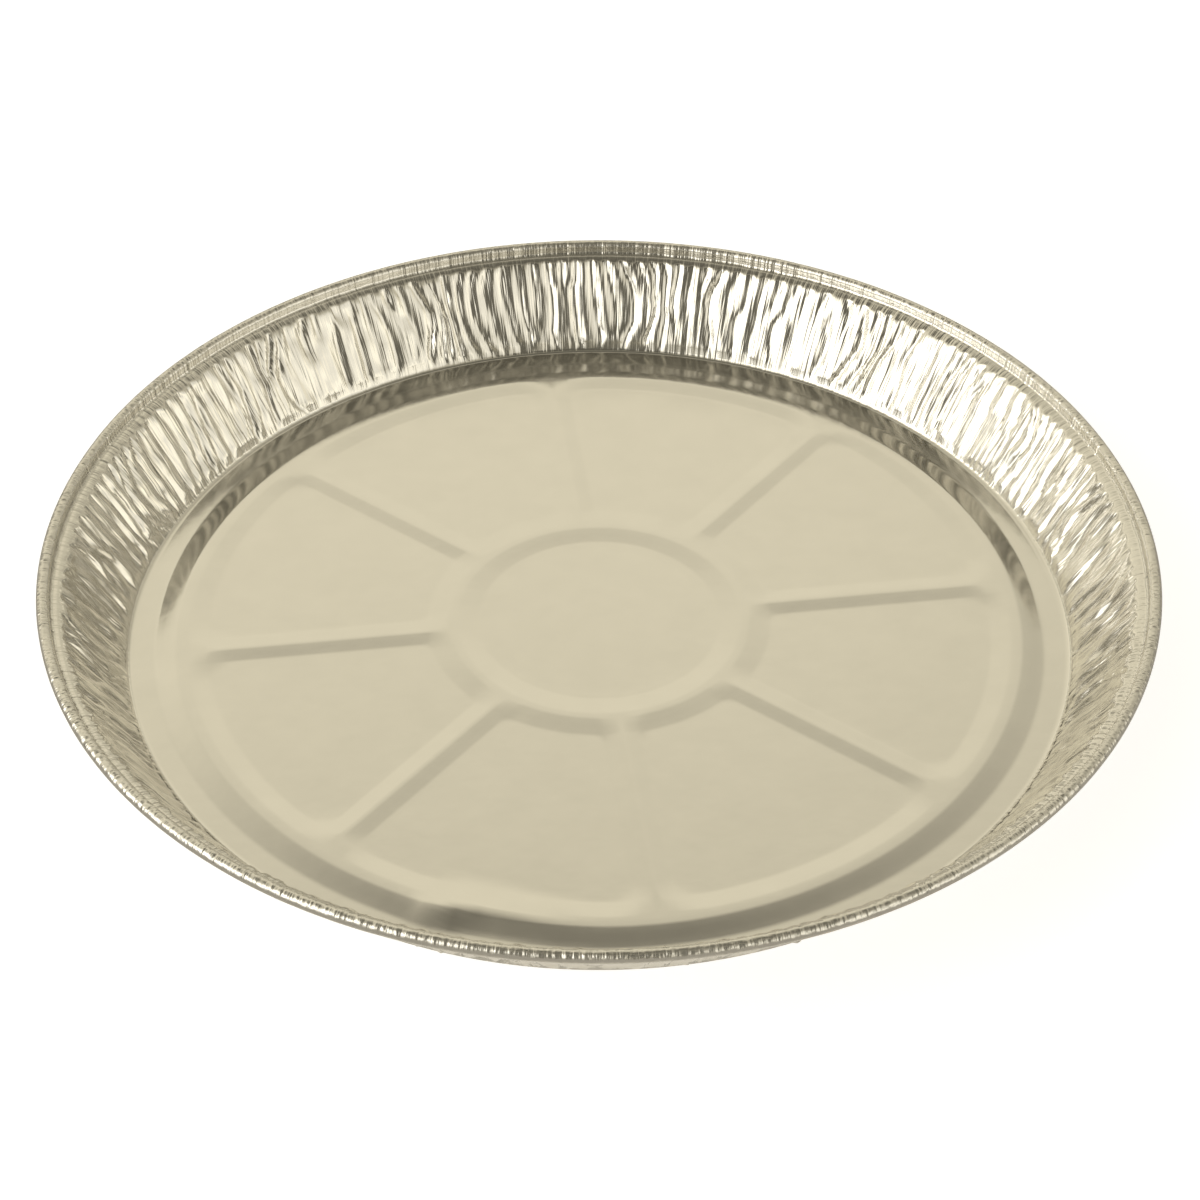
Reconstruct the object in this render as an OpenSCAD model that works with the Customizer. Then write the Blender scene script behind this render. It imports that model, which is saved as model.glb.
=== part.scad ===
// Round foil pie tin, pressed from one sheet of aluminium foil. Millimetres, Z up.
// The origin is the middle of the resting plane, under the centre disc.

/* [Overall] */
// Outer diameter over the rolled rim
rim_d = 305; // [285:1:360]
// Height of the flange's inner edge above the resting plane
flange_z = 24.9; // [14:0.1:60]
// Thickness of the foil
foil_t = 0.1; // [0.08:0.01:0.3]

/* [Rim] */
// Diameter of the rolled bead, measured over the foil
bead_d = 3.5; // [2.8:0.1:6]
// Gap between the inner side of the bead and the flange
bead_gap = 0.4; // [0.3:0.1:2]
// Height of the bead's centre above the flange's inner edge
bead_lift = 1.95; // [1.6:0.05:2.5]
// Width of the flange between the wall and the bead
flange_w = 2.2; // [1.5:0.1:8]
// Height by which the flange rises towards the bead
flange_rise = 0.6; // [0:0.1:0.8]

/* [Gathered wall] */
// Diameter at which the wall meets the resting plane
foot_d = 262; // [254:0.2:268]
// Length of the bend from the resting ring into the wall, each way
foot_bend = 1.7; // [0.8:0.1:3]
// Length of the bend from the wall into the flange, each way
lip_bend = 1.1; // [0.6:0.1:1.4]
// Number of gathers around the wall
gather_count = 184; // [120:2:190]
// Full depth of a gather, crest to furrow
gather_depth = 1.5; // [0.4:0.1:2]
// Share of its pitch by which a gather wanders sideways up the wall
gather_sway = 0.6; // [0:0.05:1]

/* [Base] */
// Outer diameter of the eight panels' field
field_d = 218.5; // [200:0.5:222]
// Width of the slope from the panels up to the outer crest
field_slope_w = 5.4; // [3:0.1:7]
// Width of the outer crest
outer_crest_w = 3.2; // [1:0.1:4]
// Width of the step from the outer crest down to the resting ring
step_w = 6; // [4:0.1:8]
// Height of every crest above the resting ring
crest_h = 1.35; // [1.2:0.05:4]
// Height of the panels and the centre disc above the resting ring
panel_h = 0.85; // [0:0.05:1.1]

/* [Ribs] */
// Diameter of the centre ring, crest to crest
ring_d = 81.8; // [60:0.2:110]
// Width of the centre ring's crest
ring_crest_w = 2.2; // [1:0.1:4]
// Width of each slope of the centre ring
ring_slope_w = 6; // [3:0.1:8]
// Number of spokes
spoke_count = 8; // [4:1:10]
// Width of a spoke's crest
spoke_crest_w = 1.2; // [0.6:0.1:3]
// Width of each slope of a spoke
spoke_slope_w = 4.4; // [2.5:0.1:6]
// Corner radius at the panels' outer corners
corner_outer_r = 7; // [2:0.5:12]
// Corner radius at the panels' inner corners
corner_inner_r = 3; // [1:0.5:6]

/* [Dent] */
// Direction of the small dent in the step, from +X
dent_at = 243; // [200:1:320]
// How far the dent pushes the outer crest inward
dent_in = 3; // [0:0.1:4]
// Angle over which the dent fades out
dent_run = 20; // [8:1:30]

/* [Hidden] */

// Columns of points: gathered wall and rolled rim
wall_cols = 2 * gather_count;
rim_cols = 72;

// The sheet is followed along its middle, so the resting ring lies half a thickness up
rest_z = foil_t / 2;
edge_r = rim_d / 2 - bead_d - bead_gap - flange_w;
edge_z = flange_z - foil_t / 2;
foot_r = foot_d / 2;
wall_run = edge_r - foot_r;
wall_rise = edge_z - rest_z;
wall_len = norm([wall_run, wall_rise]);
wall_u = [wall_run, wall_rise] / wall_len;

// Radii of the pattern pressed into the base
disc_r = ring_d / 2 - ring_crest_w / 2 - ring_slope_w;
ring_in_r = ring_d / 2 - ring_crest_w / 2;
ring_out_r = ring_d / 2 + ring_crest_w / 2;
panel_in_r = ring_out_r + ring_slope_w;
panel_out_r = field_d / 2;
crest_in_r = panel_out_r + field_slope_w;
crest_out_r = crest_in_r + outer_crest_w;
step_foot_r = crest_out_r + step_w;
spoke_half = spoke_crest_w / 2 + spoke_slope_w;

// Bead: centre and middle radius of the rolled sheet
bead_r = bead_d / 2 - foil_t / 2;
bead_c = [rim_d / 2 - bead_d / 2, flange_z + bead_lift];
bead_angles = [205, 155, 105, 55, 5, -45, -95];

// A repeatable number from 0 to 1 for each whole number
function chance(i) = let (v = sin(i * 78.233 + 31.7) * 4375.85) v - floor(v);
function clamp(v) = max(0, min(1, v));

// Outside distance of two edges that meet in a corner of radius r
function corner(a, b, r) = min(max(a, b) + r, 0) + norm([max(a + r, 0), max(b + r, 0)]) - r;

// Angle from the nearest spoke's axis
function off_spoke(a) = let (p = 360 / spoke_count) abs(a - p * round(a / p));

// How far the dent moves the outer crest in, at direction a
function dent(a) = let (d = a - dent_at)
    d < -3 || d > dent_run ? 0 : d < 0 ? dent_in * (d + 3) / 3 : dent_in * (1 - d / dent_run);

// Height of the pressed pattern above the resting ring
function relief(r, a) =
    let (lift = crest_h - panel_h, into = dent(a), side = spoke_half - r * sin(off_spoke(a)))
    r < ring_out_r ? panel_h + lift * clamp((r - disc_r) / ring_slope_w) :
    r > crest_in_r ? crest_h * clamp((step_foot_r - r) / (step_w + into)) :
    let (inner = corner(panel_in_r - r, side, corner_inner_r),
         outer = corner(r - panel_out_r, side, corner_outer_r),
         rise_in = clamp(inner / ring_slope_w),
         rise_out = clamp(outer / field_slope_w),
         rise_side = clamp(side / spoke_slope_w))
    panel_h + lift * max(rise_side, r < (panel_in_r + panel_out_r) / 2 ? rise_in : rise_out);

// Directions of the base's columns at radius r: spokes keep their width, panels share the rest
function base_dirs(r) = let (
    p = 360 / spoke_count,
    foot = asin(spoke_half / r),
    crest = asin(spoke_crest_w / 2 / r))
    [for (k = [0 : spoke_count - 1], d = [-foot, -crest, crest, foot, foot + (p - 2 * foot) * 0.3,
        p - foot - (p - 2 * foot) * 0.3]) k * p + d];

// Directions of the wall's columns at height share t, uneven and wandering
function wall_dirs(t) = let (p = 360 / wall_cols) [for (j = [0 : wall_cols - 1])
    p * (j + 0.55 * (chance(j) - 0.5)
        + gather_sway * sin(180 * t) * (sin(j * 11.3 + 40) + sin(j * 4.1))
        + gather_sway * t * sin(j * 2.9 + 70))];

// Depth of the gathers at column j and height share t: crests and furrows of uneven strength
function gather(j, t) = let (s = j % 2 == 0 ? 1 : -1, g = floor(j / 2))
    s * gather_depth / 2 * (0.55 + 0.45 * chance(g * 3 + 1)) * (0.6 + 0.4 * sin(180 * clamp(t + 0.1)))
        * (1 - 0.7 * clamp(2 * t - 1) * (chance(g + 500) > 0.75 ? 1 : 0))
        * (1 - 0.7 * clamp(1 - 2 * t) * (chance(g + 900) > 0.75 ? 1 : 0));

// Rows along the section: radius, height, kind of row and its height share
base_radii = [disc_r, ring_in_r, ring_out_r, panel_in_r, panel_in_r + corner_inner_r,
    panel_out_r - corner_outer_r / 2, panel_out_r, crest_in_r, crest_out_r, step_foot_r];
base_rows = [for (r = base_radii) [r, rest_z, "base", 0]];
wall_rows = [
    [foot_r - foot_bend, rest_z, "plain", 0],
    [foot_r + wall_u[0] * foot_bend, rest_z + wall_u[1] * foot_bend, "wall", 0],
    [foot_r + wall_run / 2, rest_z + wall_rise / 2, "wall", 0.5],
    [edge_r - wall_u[0] * lip_bend, edge_z - wall_u[1] * lip_bend, "wall", 1],
    [edge_r + lip_bend, edge_z + flange_rise * lip_bend / flange_w, "plain", 1]];
rim_rows = concat(
    [[edge_r + flange_w, edge_z + flange_rise, "rim", 0]],
    [for (b = bead_angles) [bead_c[0] + bead_r * cos(b), bead_c[1] + bead_r * sin(b), "rim", 0]],
    [[bead_c[0] + 0.8 * bead_r * cos(-150), bead_c[1] + 0.8 * bead_r * sin(-150), "rim", 0]]);
rows = concat(base_rows, wall_rows, rim_rows);

// Way along the section from row i to the next, and the sheet's upward normal at each row
function way(i) = let (a = rows[max(i, 0)], b = rows[min(i + 1, len(rows) - 1)],
    v = [b[0] - a[0], b[1] - a[1]]) norm(v) > 0 ? v / norm(v) : [0, 0];
function row_normal(i) = let (v = way(i - 1) + way(i), n = norm(v), kind = rows[i][2])
    kind == "wall" || kind == "rim" ? [-v[1] / n, v[0] / n] : [0, 1];

function row_dirs(q) = q[2] == "base" ? base_dirs(q[0]) :
    q[2] == "rim" ? [for (j = [0 : rim_cols - 1]) 360 * j / rim_cols] : wall_dirs(q[3]);
dirs = [for (q = rows) row_dirs(q)];
function row_height(q, j, a) = q[2] == "base" ? relief(q[0], a) : q[2] == "wall" ? gather(j, q[3]) : 0;

// One face of the sheet, side +1 for the upper and -1 for the lower
function skin(side) = [for (i = [0 : len(rows) - 1]) let (q = rows[i], n = row_normal(i))
    for (j = [0 : len(dirs[i]) - 1]) let (a = dirs[i][j],
        h = row_height(q, j, a) + side * foil_t / 2, r = q[0] + n[0] * h)
        [r * cos(a), r * sin(a), q[1] + n[1] * h]];
function centre(side) = [0, 0, rest_z + panel_h + side * foil_t / 2];

// Number of points before each row
function before(i) = i == 0 ? 0 : before(i - 1) + len(dirs[i - 1]);
starts = [for (i = [0 : len(rows)]) before(i)];
total = starts[len(rows)];

// Direction of point k of a row, counted on past a full turn
function turned(d, k) = let (n = len(d)) d[k % n] + 360 * floor(k / n);

// Triangles between two rows whose numbers of points may differ
function strip(da, db, sa, sb, turn) = let (na = len(da), nb = len(db))
    [for (i = 0, j = 0; i + j < na + nb;
        step = j >= nb || (i < na && turned(da, i + 1) <= turned(db, j + 1)) ? 1 : 0,
        i = i + step, j = j + 1 - step)
        let (go = j >= nb || (i < na && turned(da, i + 1) <= turned(db, j + 1)),
            a = sa + i % na, b = sb + j % nb, c = go ? sa + (i + 1) % na : sb + (j + 1) % nb)
        turn ? [a, b, c] : [c, b, a]];

last = len(rows) - 1;
last_n = len(dirs[last]);
first_n = len(dirs[0]);
skin_faces = [for (i = [0 : last - 1])
    each strip(dirs[i], dirs[i + 1], starts[i], starts[i + 1], false)];
under_faces = [for (i = [0 : last - 1])
    each strip(dirs[i], dirs[i + 1], total + starts[i], total + starts[i + 1], true)];
disc_faces = [for (j = [0 : first_n - 1]) [2 * total, (j + 1) % first_n, j]];
under_disc_faces = [for (j = [0 : first_n - 1])
    [2 * total + 1, total + j, total + (j + 1) % first_n]];
edge_faces = [for (j = [0 : last_n - 1]) let (k = (j + 1) % last_n, s = starts[last])
    each [[s + j, s + k, total + s + k], [s + j, total + s + k, total + s + j]]];

// The whole tin: one pressed sheet with its pattern, gathers and rolled rim
module tin() {
    color([0.8, 0.78, 0.68])
        polyhedron(
            points = concat(skin(1), skin(-1), [centre(1), centre(-1)]),
            faces = concat(skin_faces, under_faces, disc_faces, under_disc_faces, edge_faces),
            convexity = 10);
}

tin();
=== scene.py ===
"""Round foil pie tin: the pressed, gathered and rolled sheet, its foil finish and its studio.

The sheet is modelled once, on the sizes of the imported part, and stands for the node "tin".
"""

import math

import bmesh
import bpy
from mathutils import Matrix, Vector, noise


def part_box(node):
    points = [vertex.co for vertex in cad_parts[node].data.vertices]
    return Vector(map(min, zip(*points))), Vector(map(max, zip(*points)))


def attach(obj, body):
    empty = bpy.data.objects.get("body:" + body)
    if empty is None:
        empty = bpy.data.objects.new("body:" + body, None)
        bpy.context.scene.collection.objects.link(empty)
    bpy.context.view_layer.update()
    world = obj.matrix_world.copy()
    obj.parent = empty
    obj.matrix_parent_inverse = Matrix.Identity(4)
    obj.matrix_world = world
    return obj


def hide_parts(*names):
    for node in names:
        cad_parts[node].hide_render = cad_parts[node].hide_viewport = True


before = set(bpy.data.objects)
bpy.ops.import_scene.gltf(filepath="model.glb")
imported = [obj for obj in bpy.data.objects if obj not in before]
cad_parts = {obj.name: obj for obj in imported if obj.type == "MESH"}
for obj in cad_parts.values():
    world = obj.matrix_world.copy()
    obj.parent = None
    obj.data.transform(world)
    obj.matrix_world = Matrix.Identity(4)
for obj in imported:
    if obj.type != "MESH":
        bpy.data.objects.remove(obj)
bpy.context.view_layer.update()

bl_info = {
    "name": "Foil Pie Tin",
    "version": (1, 0, 0),
    "blender": (4, 5, 0),
    "location": "3D View > Sidebar > Pie Tin",
    "description": "Presses a round foil pie tin and sets it in a plain studio",
    "category": "Add Mesh",
}

NODE = "tin"
BODY = "root"
MM = 0.001
TIN_LOW, TIN_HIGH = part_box(NODE)


# Sizes and finishes that a user would change


class TinSizes(bpy.types.PropertyGroup):
    """Overall sizes of the tin"""

    rim_diameter: bpy.props.FloatProperty(
        name="Rim diameter", description="Outer diameter over the rolled rim",
        default=TIN_HIGH.x - TIN_LOW.x, unit="LENGTH")
    height: bpy.props.FloatProperty(
        name="Height", description="Height over the rolled rim",
        default=TIN_HIGH.z - TIN_LOW.z, unit="LENGTH")
    foil: bpy.props.FloatProperty(
        name="Foil thickness", description="Thickness of the sheet",
        default=0.1 * MM, unit="LENGTH", precision=5)
    foot_diameter: bpy.props.FloatProperty(
        name="Foot diameter", description="Diameter at which the wall meets the table",
        default=262 * MM, unit="LENGTH")
    flange_width: bpy.props.FloatProperty(
        name="Flange width", description="Width of the flange between the wall and the bead",
        default=2.2 * MM, unit="LENGTH")
    bead_diameter: bpy.props.FloatProperty(
        name="Bead diameter", description="Diameter of the rolled bead, over the foil",
        default=3.5 * MM, unit="LENGTH")
    crest_height: bpy.props.FloatProperty(
        name="Crest height", description="Height of the pressed crests above the resting ring",
        default=1.35 * MM, unit="LENGTH", precision=5)
    panel_height: bpy.props.FloatProperty(
        name="Panel height", description="Height of the panels above the resting ring",
        default=0.85 * MM, unit="LENGTH", precision=5)


class GatherSizes(bpy.types.PropertyGroup):
    """The gathers of the wall"""

    count: bpy.props.IntProperty(
        name="Gathers", description="Gathers round the lip of the wall", default=204, min=60)
    depth: bpy.props.FloatProperty(
        name="Depth", description="Full depth of a gather, crest to furrow",
        default=1.05 * MM, unit="LENGTH", precision=5)
    wander: bpy.props.FloatProperty(
        name="Wander", description="Share of its pitch by which a gather strays",
        default=0.9, min=0.0, max=1.5)
    late: bpy.props.FloatProperty(
        name="Branches", description="Share of the gathers that open only part of the way up",
        default=0.3, min=0.0, max=1.0)


class FoilFinish(bpy.types.PropertyGroup):
    """Colour and polish of the foil"""

    colour: bpy.props.FloatVectorProperty(
        name="Colour", description="Colour of the foil in plain light", subtype="COLOR",
        size=3, min=0.0, max=1.0, default=(0.80, 0.78, 0.73))
    polish: bpy.props.FloatProperty(
        name="Roughness", description="Roughness of the flat foil", subtype="FACTOR",
        default=0.14, min=0.0, max=1.0)


class StudioLight(bpy.types.PropertyGroup):
    """The plain studio round the tin"""

    left_window: bpy.props.FloatProperty(
        name="Left window", description="Brightness of the soft light on the left", default=0.88)
    right_window: bpy.props.FloatProperty(
        name="Right window", description="Brightness of the soft light on the right",
        default=0.48)
    lamp: bpy.props.FloatProperty(
        name="Lamp", description="Power of the large soft lamp on the left", default=2.0)
    backdrop: bpy.props.FloatProperty(
        name="Backdrop", description="Brightness of the walls round the tin", default=0.87)


# The section of the sheet, as chains of radius and height along its middle

FLAT = -9.0  # marks a row that is no part of the wall, in place of its share of the wall

# Radii of the pattern's slopes, in millimetres from the axis
RING_INSIDE = (33.8, 39.8)
RING_OUTSIDE = (42.0, 48.0)
CREST_INSIDE = (109.2, 114.6)
STEP = (117.8, 123.8)

# Rows of the wall and rim: radii and lengths in millimetres, and shares of the wall
CHANNEL_ROWS = (126.7, 128.0, 129.3)
FOOT_ROWS, FOOT_BEND = (-1.1, -0.55, 0.0, 0.55, 1.2), 1.2
WALL_ROWS = (0.10, 0.16, 0.24, 0.33, 0.42, 0.51, 0.60, 0.69, 0.77, 0.84, 0.90)
LIP_ROWS, LIP_BEND = (-1.3, -0.7, -0.1, 0.5, 1.1), 1.4
FLANGE_ROWS = (1.6, 2.3)

LIP_DROP = 2.0 * MM  # from the bead's centre down to the lip
FLANGE_RISE = 0.38 * MM
GROOVE = 0.4 * MM  # between the flange and the bead
ROLL_FROM, ROLL_TO, ROLL_STEPS = 204, -140, 11  # the bead's arc, in degrees
TUCK_IN, TUCK_DOWN = 0.72, 0.5  # the raw edge inside the bead, in bead radii


def arc(centre, radius, start, end, steps):
    """Points on an arc, angles in degrees"""
    return [(centre[0] + radius * math.cos(math.radians(a)),
             centre[1] + radius * math.sin(math.radians(a)))
            for a in (start + (end - start) * i / steps for i in range(steps + 1))]


def spread(start, end, steps):
    """Even steps from start to end, without the start"""
    return [start + (end - start) * (i + 1) / steps for i in range(steps)]


def slope_rows(start, end, steps=2):
    """Rows of a pressed slope, with one on each side of both its edges"""
    return ([start - 0.5, start, start + 0.5] + spread(start + 0.5, end - 0.5, steps)[:-1]
            + [end - 0.5, end, end + 0.5])


class Section:
    """The tin's section, worked out once from its sizes"""

    def __init__(self, sizes):
        self.rest_z = sizes.foil / 2
        self.rim_r = sizes.rim_diameter / 2
        self.bead_r = sizes.bead_diameter / 2 - sizes.foil / 2
        self.bead_c = (self.rim_r - sizes.bead_diameter / 2,
                       sizes.height - sizes.bead_diameter / 2)
        flange_end = self.rim_r - sizes.bead_diameter - GROOVE
        self.foot = Vector((sizes.foot_diameter / 2, self.rest_z))
        self.lip = Vector((flange_end - sizes.flange_width, self.bead_c[1] - LIP_DROP))
        self.wall_len = (self.lip - self.foot).length
        self.way = (self.lip - self.foot) / self.wall_len
        self.normal = Vector((-self.way.y, self.way.x))
        self.flange_way = Vector((sizes.flange_width, FLANGE_RISE)).normalized()

    def base_radii(self):
        """Radii of the base's rows, closer where the pressed pattern slopes"""
        rows = [0.0, 12, 24, 30] + slope_rows(*RING_INSIDE) + slope_rows(*RING_OUTSIDE)
        rows += [49.6, 51.2, 53.5] + spread(53.5, 98, 5) + spread(98, 107.6, 5)
        rows += slope_rows(*CREST_INSIDE) + slope_rows(*STEP, 3) + [124.9, 126.2]
        return [r * MM for r in rows]

    def wall_chain(self):
        """Channel, foot bend, wall, lip bend and flange: (radius, height, share of the wall)"""
        chain = [(r * MM, self.rest_z, FLAT) for r in CHANNEL_ROWS]
        for slant in FOOT_ROWS:
            at, _, onto = bent(slant * MM, FOOT_BEND * MM, self.foot, Vector((1, 0)), self.way)
            chain.append((at.x, at.y, onto / self.wall_len))
        for share in WALL_ROWS:
            at = self.foot.lerp(self.lip, share)
            chain.append((at.x, at.y, share))
        for slant in LIP_ROWS:
            at, left, _ = bent(slant * MM, LIP_BEND * MM, self.lip, self.way, self.flange_way)
            chain.append((at.x, at.y, 1 + left / self.wall_len))
        return chain

    def rim_chain(self):
        """Outer flange, the groove beside the bead and the rolled bead"""
        flange = [tuple(self.lip + self.flange_way * row * MM) for row in FLANGE_ROWS]
        roll = arc(self.bead_c, self.bead_r, ROLL_FROM, ROLL_TO, ROLL_STEPS)
        edge = (self.bead_c[0] - TUCK_IN * self.bead_r, self.bead_c[1] - TUCK_DOWN * self.bead_r)
        return [(r, z, FLAT) for r, z in flange + roll + [edge]]


def bent(slant, reach, point, before, after):
    """A point of a rounded corner, by its length from the corner, and its parts each way"""
    t = max(-1.0, min(1.0, slant / reach))
    onto = reach * (t + 1) ** 2 / 4
    left = slant - onto
    return point + before * left + after * onto, left, onto


# The pattern pressed into the base

SPOKES = 8
SECTOR = 2 * math.pi / SPOKES
SPOKE_CREST = 0.6 * MM
SPOKE_SLOPE = 4.4 * MM
SPOKE_HALF = SPOKE_CREST + SPOKE_SLOPE
RING_TOP = 41 * MM
MID_PANEL = 78 * MM  # inside it a panel's inner edge counts, beyond it the outer one
INNER_CORNER, OUTER_CORNER = 3 * MM, 7 * MM  # corners of a panel
CREST_TOP = 115.4 * MM

DENT_AT = 244.8  # degrees round from +X
DENT_IN = 3.0 * MM
DENT_RISE, DENT_RUN = 3.6, 20.0  # degrees before and after its deepest point
PINCH_AT, PINCH_HALF = -1.6, 2.2  # its sharp end, in degrees from the deepest point
PINCH_LIP, PINCH_FOOT = 0.5 * MM, 1.7  # its sharp end's extra height, and reach in millimetres

STRIP_COLUMNS = (0.0, 0.06, 0.12, 0.18, 0.5, 0.83, 0.91, 1.0)  # across half a spoke
STRIP_EDGE = 0.45 * MM  # the columns' reach past a spoke's own edge
BASE_SPOKE_COLUMNS = len(STRIP_COLUMNS) - 1
BASE_PANEL_COLUMNS = 11
HALF_SECTOR_COLUMNS = BASE_SPOKE_COLUMNS + BASE_PANEL_COLUMNS
BASE_COLUMNS = 2 * SPOKES * HALF_SECTOR_COLUMNS


def smooth(v):
    """A ramp from 0 to 1 that leaves and arrives level"""
    v = max(0.0, min(1.0, v))
    return v * v * (3 - 2 * v)


def slope(v, soft=0.08):
    """A straight ramp from 0 to 1 with slightly rounded ends"""
    if v < soft:
        return max(0.0, v + soft) ** 2 / (4 * soft)
    if v > 1 - soft:
        return 1 - max(0.0, 1 + soft - v) ** 2 / (4 * soft)
    return v


def corner(a, b, radius):
    """Outside distance of two edges that meet in a rounded corner"""
    return (min(max(a, b) + radius, 0) + math.hypot(max(a + radius, 0), max(b + radius, 0))
            - radius)


def past_dent(degrees):
    """Degrees past the deepest point of the dent, from -180 to 180"""
    return (degrees - DENT_AT + 180) % 360 - 180


def dent(degrees):
    """How far the small dent pushes the outer crest in"""
    d = past_dent(degrees)
    if d < -DENT_RISE or d > DENT_RUN:
        return 0.0
    return DENT_IN * (smooth((d + DENT_RISE) / DENT_RISE) if d < 0 else 1 - smooth(d / DENT_RUN))


def step_height(r, degrees, crest):
    """Height of the outer crest and of the step outside it, steeper at the dent's sharp end"""
    into = dent(degrees)
    sharp = math.exp(-((past_dent(degrees) - PINCH_AT) / PINCH_HALF) ** 2)
    foot = (STEP[1] + PINCH_FOOT * sharp) * MM - into * 0.3
    lip = (0.2 * into + PINCH_LIP * sharp) * slope((r - CREST_TOP + into) / (3.5 * MM))
    width = (STEP[1] - STEP[0]) * MM + into * (0.6 - 0.5 * sharp)
    return (crest + lip) * slope((foot - r) / width)


def relief(r, angle, crest, panel):
    """Height of the pressed pattern above the resting ring"""
    lift = crest - panel
    if r < RING_TOP:
        start, end = (edge * MM for edge in RING_INSIDE)
        return panel + lift * slope((r - start) / (end - start))
    degrees = math.degrees(angle)
    into = dent(degrees)
    if r > CREST_TOP - into:
        return step_height(r, degrees, crest)
    off = abs((angle + SECTOR / 2) % SECTOR - SECTOR / 2)
    side = SPOKE_HALF - r * math.sin(off)
    if r < MID_PANEL:
        start, end = (edge * MM for edge in RING_OUTSIDE)
        edge = corner(end - r, side, INNER_CORNER)
    else:
        start, end = (edge * MM for edge in CREST_INSIDE)
        edge = corner(r - start + into, side, OUTER_CORNER)
    return panel + lift * max(slope(side / SPOKE_SLOPE), slope(edge / (end - start)))


def base_direction(k, r):
    """Direction of base column k at radius r: columns run along the spokes and fan out between"""
    sector, place = divmod(k + HALF_SECTOR_COLUMNS, 2 * HALF_SECTOR_COLUMNS)
    place -= HALF_SECTOR_COLUMNS
    side = -1 if place < 0 else 1
    place = abs(place)
    strip = math.asin((SPOKE_HALF + STRIP_EDGE) / max(r, 33 * MM))
    if place <= BASE_SPOKE_COLUMNS:
        off = strip * STRIP_COLUMNS[place]
    else:
        share = (place - BASE_SPOKE_COLUMNS) / BASE_PANEL_COLUMNS
        off = strip + (SECTOR / 2 - strip) * (0.55 * share + 0.45 * share ** 2)
    return sector * SECTOR + side * off


# The gathers of the wall

FOLD_COLUMNS = 6
RIM_FOLD_COLUMNS = 2
SLICES = 12  # equal slices that a ring of the sheet is spun and copied in
DEG = math.pi / 180

# Where a furrow opens, in shares of the wall: its lowest start, the spread of starts, its length
OPENS_LATE = (0.12, 0.62, 0.16)
OPENS_LOW = (0.0, 0.07, 0.09)
CLOSES_ABOVE = 0.86  # furrows whose draw is higher than this close again
CLOSES = (0.4, 0.35, 0.2)  # as for opening
CLOSED = 0.85  # share of its depth that such a furrow loses
GATHER_FOOT = (0.05, 0.05)  # where the gathers rise, as start and length
GATHER_LIP = (0.94, 0.05)  # where they die away
DRAW_START, DRAW_LATE, DRAW_CLOSES, DRAW_END = 300, 400, 500, 600  # one row of draws each


def chance(i):
    """A repeatable number from 0 to 1 for each whole number"""
    v = math.sin((i * 78.233 + 31.7) * DEG) * 4375.85
    return v - math.floor(v)


def drift(x, y, size, shift):
    """Smooth noise from about -1 to 1 whose lumps are size metres across"""
    return noise.noise(Vector((x / size + shift, y / size - shift, 3.1 * shift)))


class Folds:
    """The furrows of the gathered wall: where each runs, and how deep it is up the wall"""

    def __init__(self, gathers):
        self.count = gathers.count
        self.depth = gathers.depth
        self.wander = gathers.wander
        self.late = gathers.late
        self.pitch = 2 * math.pi / self.count

    def strength(self, i, t):
        """How fully furrow i has opened at share t of the wall: some open late or close early"""
        own = i % self.count
        low, more, reach = OPENS_LATE if chance(own + DRAW_LATE) < self.late else OPENS_LOW
        opened = smooth((t - (low + more * chance(own + DRAW_START))) / reach)
        if chance(own + DRAW_CLOSES) > CLOSES_ABOVE:
            low, more, reach = CLOSES
            opened *= 1 - CLOSED * smooth((t - low - more * chance(own + DRAW_END)) / reach)
        return opened

    def line(self, i, share):
        """Direction of furrow i; the furrows beside one that has closed draw together"""
        t = max(0.0, min(1.0, share))
        turn = i * 360 / self.count
        own = i % self.count
        # Slow waves round the tin, most of them strongest halfway up
        bow = math.sin(180 * t * DEG)
        sway = (bow * (0.7 * math.sin((12 * turn + 40) * DEG)
                       + 0.45 * math.sin((26 * turn + 100 * t) * DEG))
                + 0.7 * t * math.sin((4 * turn + 70) * DEG))
        stray = 0.15 * noise.noise(Vector((own * 1.7, 3.2 * t, 4.0)))
        draw = 0.27 * (self.strength(i - 1, t) - self.strength(i + 1, t))
        place = 0.24 * (chance(own) - 0.5)
        return self.pitch * (i + place + draw + stray + self.wander * sway)

    def fold_depth(self, i, t):
        """Depth of furrow i as a share of the full depth"""
        own = i % self.count
        ripple = noise.noise(Vector((own * 2.3, 4 * t, 9)))
        uneven = 0.62 + 0.55 * chance(own * 3 + 1) + 0.35 * ripple
        return self.strength(i, t) * min(1.15, uneven)

    def height(self, i, k, t):
        """Height of the wall at column k of fold i over its smooth section"""
        u = k / FOLD_COLUMNS
        (foot, foot_run), (lip, lip_run) = GATHER_FOOT, GATHER_LIP
        level = smooth((t - foot) / foot_run) * (1 - smooth((t - lip) / lip_run))
        swell = 0.9 + 0.5 * noise.noise(Vector((i % self.count * 3.1, 5.5 * t, 20.0)))
        h = swell * (1 - furrow(u)) - 0.5
        h += furrow(u) * (1 - self.fold_depth(i, t)) - furrow(1 - u) * self.fold_depth(i + 1, t)
        return self.depth * level * h


def furrow(u):
    """Section of a furrow, sharp in its middle and level half a fold away"""
    return 1 - math.sin(math.pi * u) if u < 0.5 else 0.0


# The sheet: three rings of rows, each with columns of its own, joined by flat strips


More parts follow.
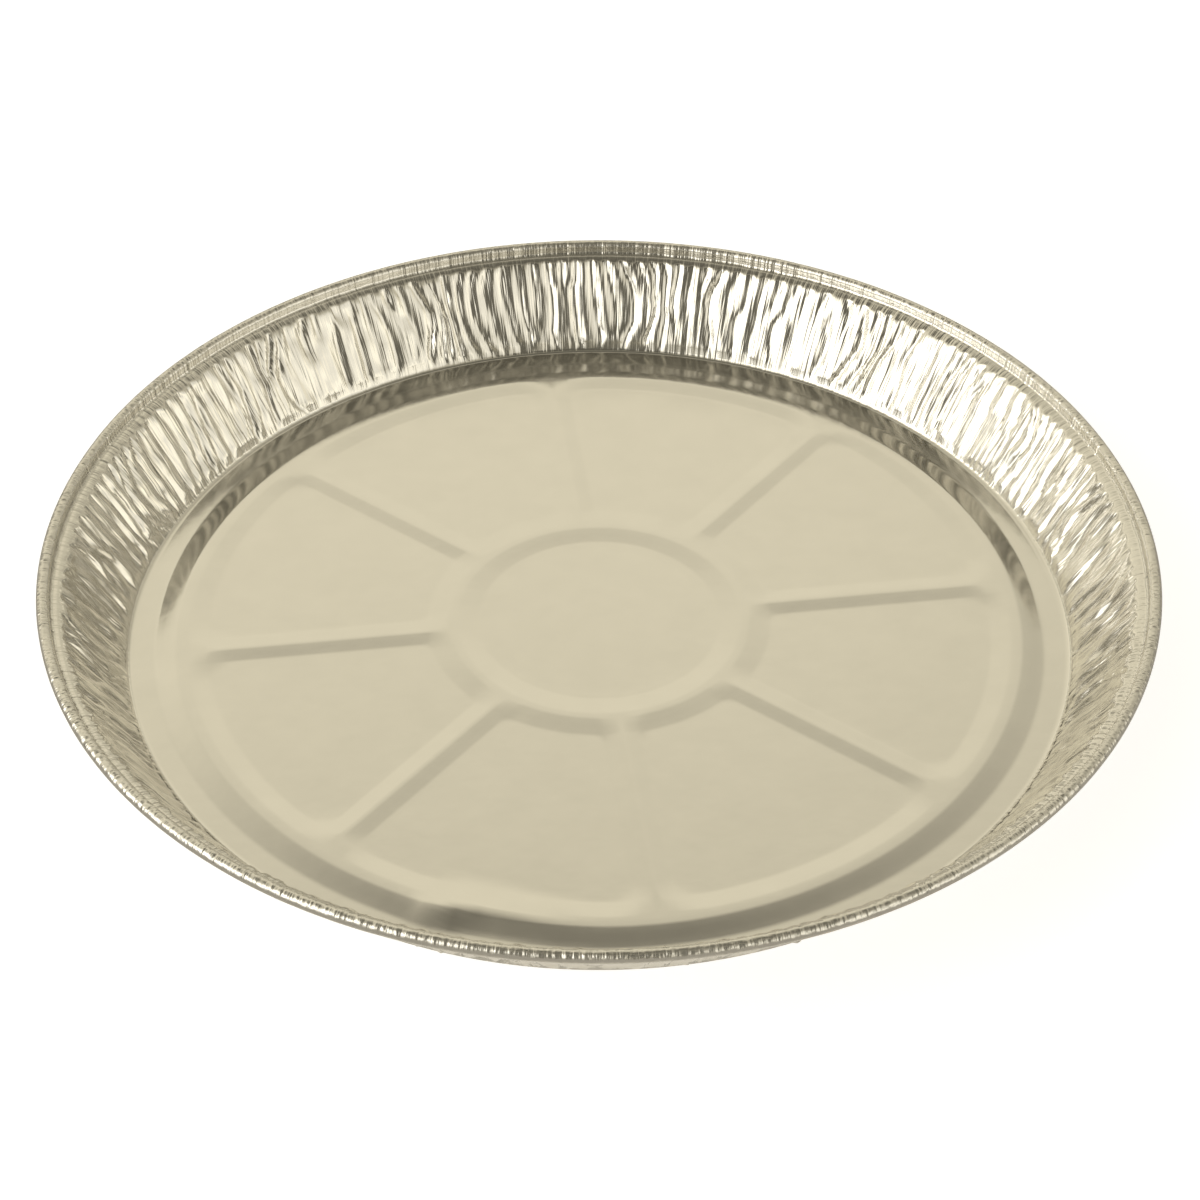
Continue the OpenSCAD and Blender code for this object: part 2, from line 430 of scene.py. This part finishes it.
def spun(chain, columns):
    """A closed surface of revolution from a chain of (radius, height, share of the wall)"""
    bm = bmesh.new()
    shares = bm.verts.layers.float.new("share")
    verts = []
    for r, z, share in chain:
        verts.append(bm.verts.new((r, 0.0, z)))
        verts[-1][shares] = share
    edges = [bm.edges.new(pair) for pair in zip(verts, verts[1:])]
    slice_angle = 2 * math.pi / SLICES
    bmesh.ops.spin(bm, geom=verts + edges, cent=(0, 0, 0), axis=(0, 0, 1), dvec=(0, 0, 0),
                   angle=slice_angle, steps=columns // SLICES, use_merge=False,
                   use_duplicate=False)
    first = bm.verts[:] + bm.edges[:] + bm.faces[:]
    for i in range(1, SLICES):
        copy = bmesh.ops.duplicate(bm, geom=first)["geom"]
        bmesh.ops.rotate(bm, verts=[v for v in copy if isinstance(v, bmesh.types.BMVert)],
                         cent=(0, 0, 0), matrix=Matrix.Rotation(i * slice_angle, 3, "Z"))
    bmesh.ops.remove_doubles(bm, verts=bm.verts[:], dist=2e-6)
    return bm


def column_of(v, columns):
    """Number of the column that a vertex lies on"""
    return round(math.atan2(v.co.y, v.co.x) / (2 * math.pi) * columns) % columns


def press_base(section, sizes):
    """The base, with its panels, ribs and outer crest"""
    bm = spun([(r, section.rest_z, FLAT) for r in section.base_radii()], BASE_COLUMNS)
    for v in bm.verts:
        r = math.hypot(v.co.x, v.co.y)
        if r < 1e-6:
            v.co.z = section.rest_z + sizes.panel_height
            continue
        angle = base_direction(column_of(v, BASE_COLUMNS), r)
        x, y = r * math.cos(angle), r * math.sin(angle)
        # The sheet is a little uneven, and level again before the outer crest
        level = smooth((112 * MM - r) / (20 * MM))
        sag = 0.10 * MM * level * drift(x, y, 38 * MM, 4.4)
        sag += 0.03 * MM * level * drift(x, y, 14 * MM, 7.7)
        v.co = (x, y, section.rest_z + sag
                + relief(r, angle, sizes.crest_height, sizes.panel_height))
    return bm


def gather_wall(section, folds):
    """The channel, the gathered wall and the inner flange"""
    columns = folds.count * FOLD_COLUMNS
    bm = spun(section.wall_chain(), columns)
    shares = bm.verts.layers.float["share"]
    for v in bm.verts:
        share = v[shares]
        if share == FLAT:
            continue
        r = math.hypot(v.co.x, v.co.y)
        i, k = divmod(column_of(v, columns), FOLD_COLUMNS)
        low, high = folds.line(i, share), folds.line(i + 1, share)
        angle = low + (high - low) * k / FOLD_COLUMNS
        h = folds.height(i, k, share)
        r += section.normal[0] * h
        v.co = (r * math.cos(angle), r * math.sin(angle), v.co.z + section.normal[1] * h)
    return bm


def roll_rim(section, folds):
    """The outer flange and the rolled bead, a little uneven except at its widest and its top"""
    bm = spun(section.rim_chain(), folds.count * RIM_FOLD_COLUMNS)
    for v in bm.verts:
        x, y = v.co.x, v.co.y
        r, angle = math.hypot(x, y), math.atan2(y, x)
        ruck = drift(x, y, 3.4 * MM, 2.2) + 0.6 * drift(x, y, 11 * MM, 6.6)
        on_bead = smooth((r - 149 * MM) / (0.5 * MM))
        inward = smooth((section.rim_r - r) / (1.2 * MM))
        low = smooth((section.bead_c[1] + section.bead_r - v.co.z) / (0.5 * MM))
        away = Vector((r - section.bead_c[0], v.co.z - section.bead_c[1]))
        away *= 0.045 * ruck * on_bead * inward * low
        r += away.x
        v.co = (r * math.cos(angle), r * math.sin(angle), v.co.z + away.y)
    return bm


def join_rings(parts):
    """Several part meshes in one"""
    whole = bmesh.new()
    for bm in parts:
        mesh = bpy.data.meshes.new("part")
        bm.to_mesh(mesh)
        bm.free()
        whole.from_mesh(mesh)
        bpy.data.meshes.remove(mesh)
    return whole


def ring_edges(bm, radius):
    """Edges of the loop that lies on one radius"""
    def on(v):
        return abs(math.hypot(v.co.x, v.co.y) - radius) < 1e-6
    return [e for e in bm.edges if on(e.verts[0]) and on(e.verts[1])]


def fill_flat(bm, inner, outer):
    """Fills the flat between two rings of the sheet, whose columns differ in number"""
    bmesh.ops.triangle_fill(bm, use_beauty=True, use_dissolve=False, normal=(0, 0, 1),
                            edges=ring_edges(bm, inner) + ring_edges(bm, outer))


def press_sheet(sizes, gathers):
    """The whole sheet along its middle, as one mesh"""
    section = Section(sizes)
    folds = Folds(gathers)
    bm = join_rings((press_base(section, sizes), gather_wall(section, folds),
                     roll_rim(section, folds)))
    fill_flat(bm, section.base_radii()[-1], section.wall_chain()[0][0])
    fill_flat(bm, section.wall_chain()[-1][0], section.rim_chain()[0][0])
    bmesh.ops.remove_doubles(bm, verts=bm.verts[:], dist=1e-7)
    bmesh.ops.recalc_face_normals(bm, faces=bm.faces[:])
    middle = min(bm.faces, key=lambda f: f.calc_center_median().xy.length)
    if middle.normal.z < 0:
        bmesh.ops.reverse_faces(bm, faces=bm.faces[:])
    for face in bm.faces:
        face.smooth = True
    return bm


# Small helpers for node trees


def cleared(owner):
    """The emptied node tree of a material or a world"""
    owner.use_nodes = True
    owner.node_tree.nodes.clear()
    return owner.node_tree


def feed(tree, value, socket):
    """Gives a socket a plain number, or links another socket to it"""
    if isinstance(value, (int, float)):
        socket.default_value = value
    else:
        tree.links.new(value, socket)


def ramp_node(tree, source, low, high, to_low=0.0, to_high=1.0):
    """Smooth ramp of a value between two limits"""
    node = tree.nodes.new("ShaderNodeMapRange")
    node.interpolation_type = "SMOOTHSTEP"
    for name, value in (("Value", source), ("From Min", low), ("From Max", high),
                        ("To Min", to_low), ("To Max", to_high)):
        feed(tree, value, node.inputs[name])
    return node.outputs["Result"]


def maths(tree, operation, *values):
    """One step of arithmetic on sockets or plain numbers"""
    node = tree.nodes.new("ShaderNodeMath")
    node.operation = operation
    for value, socket in zip(values, node.inputs):
        feed(tree, value, socket)
    return node.outputs["Value"]


def product(tree, first, *others):
    """Product of sockets and plain numbers"""
    for value in others:
        first = maths(tree, "MULTIPLY", first, value)
    return first


def vector_maths(tree, operation, source, second=None):
    """One step of arithmetic on a vector, with a plain second vector"""
    node = tree.nodes.new("ShaderNodeVectorMath")
    node.operation = operation
    feed(tree, source, node.inputs[0])
    if second is not None:
        node.inputs[1].default_value = second
    return node.outputs["Value" if operation == "LENGTH" else "Vector"]


def split(tree, source):
    """The X, Y and Z of a vector"""
    node = tree.nodes.new("ShaderNodeSeparateXYZ")
    feed(tree, source, node.inputs["Vector"])
    return node.outputs["X"], node.outputs["Y"], node.outputs["Z"]


def speckle(tree, vector, scale, stretch, detail=2.0):
    """Noise from about 0 to 1 in stretched coordinates"""
    place = tree.nodes.new("ShaderNodeMapping")
    place.inputs["Scale"].default_value = stretch
    feed(tree, vector, place.inputs["Vector"])
    grain = tree.nodes.new("ShaderNodeTexNoise")
    grain.inputs["Scale"].default_value = scale
    grain.inputs["Detail"].default_value = detail
    feed(tree, place.outputs["Vector"], grain.inputs["Vector"])
    return grain.outputs["Fac"]


def bump(tree, height, distance, normal=None):
    """Adds fine relief, distance metres deep, over what is there"""
    node = tree.nodes.new("ShaderNodeBump")
    node.inputs["Distance"].default_value = distance
    feed(tree, height, node.inputs["Height"])
    if normal is not None:
        feed(tree, normal, node.inputs["Normal"])
    return node.outputs["Normal"]


def glow(tree, kind, colour, strength):
    """Light of one colour: a world's background or a material's emission"""
    node = tree.nodes.new(kind)
    node.inputs["Color"].default_value = (*colour, 1)
    feed(tree, strength, node.inputs["Strength"])
    return node.outputs[0]


def added(tree, first, second):
    """Two shaders on top of each other"""
    node = tree.nodes.new("ShaderNodeAddShader")
    feed(tree, first, node.inputs[0])
    feed(tree, second, node.inputs[1])
    return node.outputs["Shader"]


def chosen(tree, ray, others, seen):
    """One shader for the rays of one kind and another for the rest"""
    node = tree.nodes.new("ShaderNodeMixShader")
    paths = tree.nodes.new("ShaderNodeLightPath")
    for source, socket in zip((paths.outputs[ray], others, seen), node.inputs):
        feed(tree, source, socket)
    return node.outputs["Shader"]


def surface(tree, kind, shader):
    """Links a shader to the tree's output"""
    feed(tree, shader, tree.nodes.new(kind).inputs["Surface"])


# Finish of the foil

# Zones of the sheet, in metres from the axis: where each begins, or ends
STEP_BEGINS, STEP_ENDS = (0.1165, 0.1185), (0.1240, 0.1255)
WALL_BEGINS = (0.1300, 0.1325)
FLANGE_BEGINS = (0.1460, 0.1470)
ROLL_CREASES_BEGIN = (0.1478, 0.1492)
ROLL_BEGINS = (0.1485, 0.1495)

# The same across the tin, by how far round a place is towards +X or -X, from 0 to 1
STEP_CLEARS = (0.60, 0.85)
CREASES_DEEPEN = (0.30, 0.80)
CREASES_CALM = (0.86, 0.98)

PATCHES = 0.08  # spread of the roughness over the flats
STEP_ROUGHNESS, ROLL_ROUGHNESS = 0.10, 0.13  # on top of the flat foil's
GRAIN_DEPTH, UNEVEN_DEPTH = 0.0036 * MM, 0.025 * MM
CREASE_DEPTH, CRUMPLE_DEPTH = 0.46 * MM, 0.24 * MM


class FoilPlace:
    """Where a point of the foil lies: its place, its radius and its way round the tin"""

    def __init__(self, tree):
        self.place = tree.nodes.new("ShaderNodeTexCoord").outputs["Object"]
        flat = vector_maths(tree, "MULTIPLY", self.place, (1, 1, 0))
        self.radius = vector_maths(tree, "LENGTH", flat)
        x, y, _ = split(tree, vector_maths(tree, "NORMALIZE", flat))
        self.aside = maths(tree, "ABSOLUTE", x)
        around = tree.nodes.new("ShaderNodeCombineXYZ")
        for source, socket in zip((x, y, self.radius), around.inputs):
            feed(tree, source, socket)
        self.around = around.outputs["Vector"]


def foil_tint(tree, at, colour):
    """Colour of the foil, very slightly mottled"""
    tint = tree.nodes.new("ShaderNodeMix")
    tint.data_type = "RGBA"
    tint.inputs["A"].default_value = (*(c * 0.965 for c in colour), 1)
    tint.inputs["B"].default_value = (*(min(1.0, c * 1.03) for c in colour), 1)
    feed(tree, speckle(tree, at.place, 90, (1, 1, 1), 3.0), tint.inputs["Factor"])
    return tint.outputs["Result"]


def foil_roughness(tree, at, polish):
    """Roughness in soft patches, more on the bead and on the step at the front and back"""
    patch = speckle(tree, at.place, 60, (1, 2.5, 1), 2.0)
    flats = maths(tree, "MULTIPLY_ADD", patch, PATCHES, polish - PATCHES / 2)
    step = product(tree, ramp_node(tree, at.radius, *STEP_BEGINS, 0.0, STEP_ROUGHNESS),
                   ramp_node(tree, at.radius, *STEP_ENDS, 1.0, 0.0),
                   ramp_node(tree, at.aside, *STEP_CLEARS, 1.0, 0.0))
    rolled = ramp_node(tree, at.radius, *ROLL_BEGINS, 0.0, ROLL_ROUGHNESS)
    return maths(tree, "ADD", maths(tree, "ADD", flats, step), rolled)


def foil_relief(tree, at):
    """Mill grain along X, a slight unevenness, creases up the wall and crumples on the bead"""
    normal = bump(tree, speckle(tree, at.place, 1000, (0.30, 1.3, 1)), GRAIN_DEPTH)
    normal = bump(tree, speckle(tree, at.place, 210, (1, 1, 1), 1.5), UNEVEN_DEPTH, normal)
    folded = product(tree, ramp_node(tree, at.radius, *WALL_BEGINS),
                     ramp_node(tree, at.aside, *CREASES_DEEPEN, 1.0, 1.6),
                     ramp_node(tree, at.radius, *FLANGE_BEGINS, 1.0, 0.7),
                     ramp_node(tree, at.aside, *CREASES_CALM, 1.0, 0.6))
    # The creases of the bead come in bunches
    bunches = speckle(tree, at.around, 1.0, (22, 22, 9), 1.0)
    bead = product(tree, ramp_node(tree, at.radius, *ROLL_CREASES_BEGIN),
                   ramp_node(tree, bunches, 0.44, 0.68, 0.30, 1.1))
    creases = speckle(tree, at.around, 1.0, (95, 95, 70), 2.5)
    creased = product(tree, creases, maths(tree, "ADD", folded, bead))
    normal = bump(tree, creased, CREASE_DEPTH, normal)
    crumple = product(tree, speckle(tree, at.place, 620, (1, 1, 1), 1.0),
                      ramp_node(tree, at.radius, *ROLL_BEGINS))
    return bump(tree, crumple, CRUMPLE_DEPTH, normal)


def foil_material(finish):
    """Bright rolled foil: soft on the flats, with fine creases up the wall and over the rim"""
    material = bpy.data.materials.new("rolled_foil")
    tree = cleared(material)
    foil = tree.nodes.new("ShaderNodeBsdfPrincipled")
    foil.inputs["Metallic"].default_value = 1.0
    at = FoilPlace(tree)
    feed(tree, foil_tint(tree, at, finish.colour), foil.inputs["Base Color"])
    feed(tree, foil_roughness(tree, at, finish.polish), foil.inputs["Roughness"])
    feed(tree, foil_relief(tree, at), foil.inputs["Normal"])
    surface(tree, "ShaderNodeOutputMaterial", foil.outputs["BSDF"])
    return material


# Studio

# Brightness of the studio's walls by the sine of the height above the horizon
WALL_TONES = ((0.0, 0.50), (0.12, 0.56), (0.30, 0.84), (0.42, 1.08), (0.52, 1.12), (0.60, 1.0),
              (0.68, 0.94), (0.75, 0.80), (0.84, 0.64), (0.91, 0.37), (0.96, 0.23), (1.0, 0.13))
WALL_COLOUR = (0.975, 0.903, 0.705)
WINDOW_COLOUR = (1, 0.99, 0.95)
WHITE = (1, 1, 1)

# Soft patches: azimuth, elevation, how much lower than wide, inner and outer edge, in degrees
LEFT_PATCH = (208, 25, 1.5, 22, 48)
RIGHT_PATCH = (328, 17, 1.4, 14, 46)
FRONT_PATCH, FRONT_SHADE = (270, 40, 0.35, 12, 30), 0.18
BLOTCHES, BLOTCHES_END = 3.0, (0.30, 0.48)  # uneven tone of the lower walls
RIGHT_SHADE = 0.36  # share of its tone that the upper right wall loses
RIGHT_BEGINS, UPPER_BEGINS = (0.0, 0.6), (0.25, 0.42)

FLOOR_HALF = 3.0
FLOOR_GLOW, FLOOR_TONE = 0.70, 0.8
# Painted reflection: a glow on the floor that only the foil's reflections see, brighter near the
# rim than beyond it
PAINTED_REFLECTION_COLOUR = (1, 0.93, 0.78)
PAINTED_REFLECTION_NEAR, PAINTED_REFLECTION_FAR = 0.74, 0.40  # the floor as the foil sees it, at the rim and beyond
PAINTED_REFLECTION_FADES = (0.146, 0.172)

LAMP_SIZE = (1.2, 0.8)
LAMP_PLACE = (197, 24, 1.4)  # azimuth and elevation in degrees, and distance

# The photograph's camera, as fitted to it
CAMERA_TURN = math.radians(-7.55)
CAMERA_RISE = math.radians(40.682)
CAMERA_PITCH = math.radians(90 - 40.253)
CAMERA_DISTANCE = 0.76039
CAMERA_LENS, CAMERA_SENSOR = 81.32, 36.0
CAMERA_SHIFT = 0.0008
CAMERA_CLIP = (0.01, 20.0)


def direction(azimuth, elevation):
    """Unit vector of a direction, from radians"""
    flat = math.cos(elevation)
    return Vector((math.cos(azimuth) * flat, math.sin(azimuth) * flat, math.sin(elevation)))


def soft_patch(tree, way, azimuth, elevation, tall, inner, outer):
    """A soft patch of the world, 1 within inner degrees and 0 beyond outer"""
    aim = direction(math.radians(azimuth), math.radians(elevation))
    off = vector_maths(tree, "SUBTRACT", way, aim)
    size = vector_maths(tree, "LENGTH", vector_maths(tree, "MULTIPLY", off, (1, 1, tall)))
    return ramp_node(tree, size, 2 * math.sin(math.radians(inner / 2)),
                     2 * math.sin(math.radians(outer / 2)), 1.0, 0.0)


def wall_tone(tree, way):
    """Tone of the studio's walls, shaded at the front and uneven low down"""
    x, _, z = split(tree, way)
    height = tree.nodes.new("ShaderNodeValToRGB")
    feed(tree, z, height.inputs["Fac"])
    ramp = height.color_ramp
    ramp.interpolation = "B_SPLINE"
    while len(ramp.elements) < len(WALL_TONES):
        ramp.elements.new(0.5)
    for element, (at, value) in zip(ramp.elements, WALL_TONES):
        element.position = at
        element.color = (value, value, value, 1)
    front = soft_patch(tree, way, *FRONT_PATCH)
    shade = ramp_node(tree, front, 0.0, 1.0, 1.0, FRONT_SHADE)
    uneven = maths(tree, "SUBTRACT", speckle(tree, way, 3.2, (1, 1, 0.8), 1.0), 0.5)
    blotch = product(tree, uneven, ramp_node(tree, z, *BLOTCHES_END, BLOTCHES, 0.0))
    aside = product(tree, ramp_node(tree, x, *RIGHT_BEGINS, 0.0, RIGHT_SHADE),
                    ramp_node(tree, z, *UPPER_BEGINS, 0.0, -1.0))
    changes = maths(tree, "ADD", maths(tree, "ADD", blotch, 1.0), aside)
    return product(tree, height.outputs["Color"], shade, changes)


def studio_world(studio, turn):
    """Plain studio: camera rays see white, the rest sees soft walls under a dim ceiling"""
    world = bpy.data.worlds.new("studio")
    bpy.context.scene.world = world
    tree = cleared(world)
    spin = tree.nodes.new("ShaderNodeVectorRotate")
    spin.rotation_type = "Z_AXIS"
    spin.inputs["Angle"].default_value = -turn
    feed(tree, tree.nodes.new("ShaderNodeTexCoord").outputs["Generated"], spin.inputs["Vector"])
    way = spin.outputs["Vector"]
    walls = glow(tree, "ShaderNodeBackground", WALL_COLOUR,
                 product(tree, wall_tone(tree, way), studio.backdrop))
    panes = maths(tree, "ADD",
                  product(tree, soft_patch(tree, way, *LEFT_PATCH), studio.left_window),
                  product(tree, soft_patch(tree, way, *RIGHT_PATCH), studio.right_window))
    windows = glow(tree, "ShaderNodeBackground", WINDOW_COLOUR, panes)
    white = glow(tree, "ShaderNodeBackground", WHITE, 1.0)
    surface(tree, "ShaderNodeOutputWorld",
            chosen(tree, "Is Camera Ray", added(tree, walls, windows), white))


def floor_material():
    """White to the camera with the tin's shadow; to the foil's reflections a painted glow,
    brighter under the rim and dimmer beyond
    """
    material = bpy.data.materials.new("white_floor")
    tree = cleared(material)
    paths = tree.nodes.new("ShaderNodeLightPath")
    lit = glow(tree, "ShaderNodeEmission", WHITE,
               product(tree, paths.outputs["Is Camera Ray"], FLOOR_GLOW))
    matt = tree.nodes.new("ShaderNodeBsdfDiffuse")
    matt.inputs["Color"].default_value = (FLOOR_TONE, FLOOR_TONE, FLOOR_TONE, 1)
    reach = vector_maths(tree, "LENGTH",
                         tree.nodes.new("ShaderNodeTexCoord").outputs["Object"])
    # Painted reflection: for glossy rays the floor glows, brighter under the rim than beyond it
    painted_reflection = glow(tree, "ShaderNodeEmission", PAINTED_REFLECTION_COLOUR,
                    ramp_node(tree, reach, *PAINTED_REFLECTION_FADES, PAINTED_REFLECTION_NEAR, PAINTED_REFLECTION_FAR))
    surface(tree, "ShaderNodeOutputMaterial",
            chosen(tree, "Is Glossy Ray", added(tree, lit, matt.outputs["BSDF"]), painted_reflection))
    return material


def studio_floor():
    """A plain white floor that keeps the tin's soft shadow"""
    bm = bmesh.new()
    bmesh.ops.create_grid(bm, x_segments=1, y_segments=1, size=FLOOR_HALF)
    mesh = bpy.data.meshes.new("floor")
    bm.to_mesh(mesh)
    bm.free()
    floor = bpy.data.objects.new("floor", mesh)
    bpy.context.scene.collection.objects.link(floor)
    mesh.materials.append(floor_material())


def soft_lamp(power, turn):
    """A softbox aimed at the tin, placed by its direction as the photograph's frame has it"""
    data = bpy.data.lights.new("lamp", "AREA")
    data.shape = "RECTANGLE"
    data.size, data.size_y = LAMP_SIZE
    data.energy = power
    lamp = bpy.data.objects.new("lamp", data)
    bpy.context.scene.collection.objects.link(lamp)
    azimuth, elevation, distance = LAMP_PLACE
    away = direction(math.radians(azimuth) + turn, math.radians(elevation))
    lamp.location = away * distance
    lamp.rotation_euler = (-away).to_track_quat("-Z", "Y").to_euler()


def photo_camera():
    """The photograph's camera: its distance, height, turn, pitch and lens"""
    data = bpy.data.cameras.new("camera")
    data.lens, data.sensor_width = CAMERA_LENS, CAMERA_SENSOR
    data.shift_x = CAMERA_SHIFT
    data.clip_start, data.clip_end = CAMERA_CLIP
    camera = bpy.data.objects.new("camera", data)
    bpy.context.scene.collection.objects.link(camera)
    back = Vector((0, -CAMERA_DISTANCE * math.cos(CAMERA_RISE),
                   CAMERA_DISTANCE * math.sin(CAMERA_RISE)))
    camera.location = Matrix.Rotation(CAMERA_TURN, 3, "Z") @ back
    camera.rotation_euler = (CAMERA_PITCH, 0, CAMERA_TURN)
    bpy.context.scene.camera = camera


# Operators, panel and registration


class PIETIN_OT_sheet(bpy.types.Operator):
    """Press the sheet: base, gathered wall and rolled rim in one piece of foil"""

    bl_idname = "pietin.sheet"
    bl_label = "Press Sheet"

    def execute(self, context):
        scene = context.scene
        bm = press_sheet(scene.tin_sizes, scene.tin_gathers)
        mesh = bpy.data.meshes.new("pressed_sheet")
        bm.to_mesh(mesh)
        bm.free()
        sheet = bpy.data.objects.new("pressed_sheet", mesh)
        scene.collection.objects.link(sheet)
        wall = sheet.modifiers.new("foil", "SOLIDIFY")
        wall.thickness = scene.tin_sizes.foil
        wall.offset = 0.0
        mesh.materials.append(foil_material(scene.tin_finish))
        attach(sheet, BODY)
        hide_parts(NODE)
        return {"FINISHED"}


class PIETIN_OT_studio(bpy.types.Operator):
    """Set up the floor, the lamp, the world and the camera"""

    bl_idname = "pietin.studio"
    bl_label = "Set Up Studio"

    def execute(self, context):
        studio = context.scene.tin_studio
        studio_floor()
        studio_world(studio, CAMERA_TURN)
        soft_lamp(studio.lamp, CAMERA_TURN)
        photo_camera()
        context.scene.view_settings.view_transform = "Standard"
        return {"FINISHED"}


class PIETIN_PT_panel(bpy.types.Panel):
    """The tin's sizes, finish and studio in the sidebar"""

    bl_label = "Pie Tin"
    bl_space_type = "VIEW_3D"
    bl_region_type = "UI"
    bl_category = "Pie Tin"

    def draw(self, context):
        layout = self.layout
        for group, _ in GROUPS:
            box = layout.box()
            settings = getattr(context.scene, group)
            for name in settings.bl_rna.properties.keys():
                if name not in ("rna_type", "name"):
                    box.prop(settings, name)
        for operator in (PIETIN_OT_sheet, PIETIN_OT_studio):
            layout.operator(operator.bl_idname)


GROUPS = (("tin_sizes", TinSizes), ("tin_gathers", GatherSizes),
          ("tin_finish", FoilFinish), ("tin_studio", StudioLight))
CLASSES = (TinSizes, GatherSizes, FoilFinish, StudioLight,
           PIETIN_OT_sheet, PIETIN_OT_studio, PIETIN_PT_panel)


def register():
    for cls in CLASSES:
        bpy.utils.register_class(cls)
    for name, group in GROUPS:
        setattr(bpy.types.Scene, name, bpy.props.PointerProperty(type=group))


def unregister():
    for name, _ in GROUPS:
        delattr(bpy.types.Scene, name)
    for cls in reversed(CLASSES):
        bpy.utils.unregister_class(cls)


def main():
    """Registers the tools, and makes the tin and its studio"""
    register()
    bpy.ops.pietin.sheet()
    bpy.ops.pietin.studio()


if __name__ == "__main__":
    main()
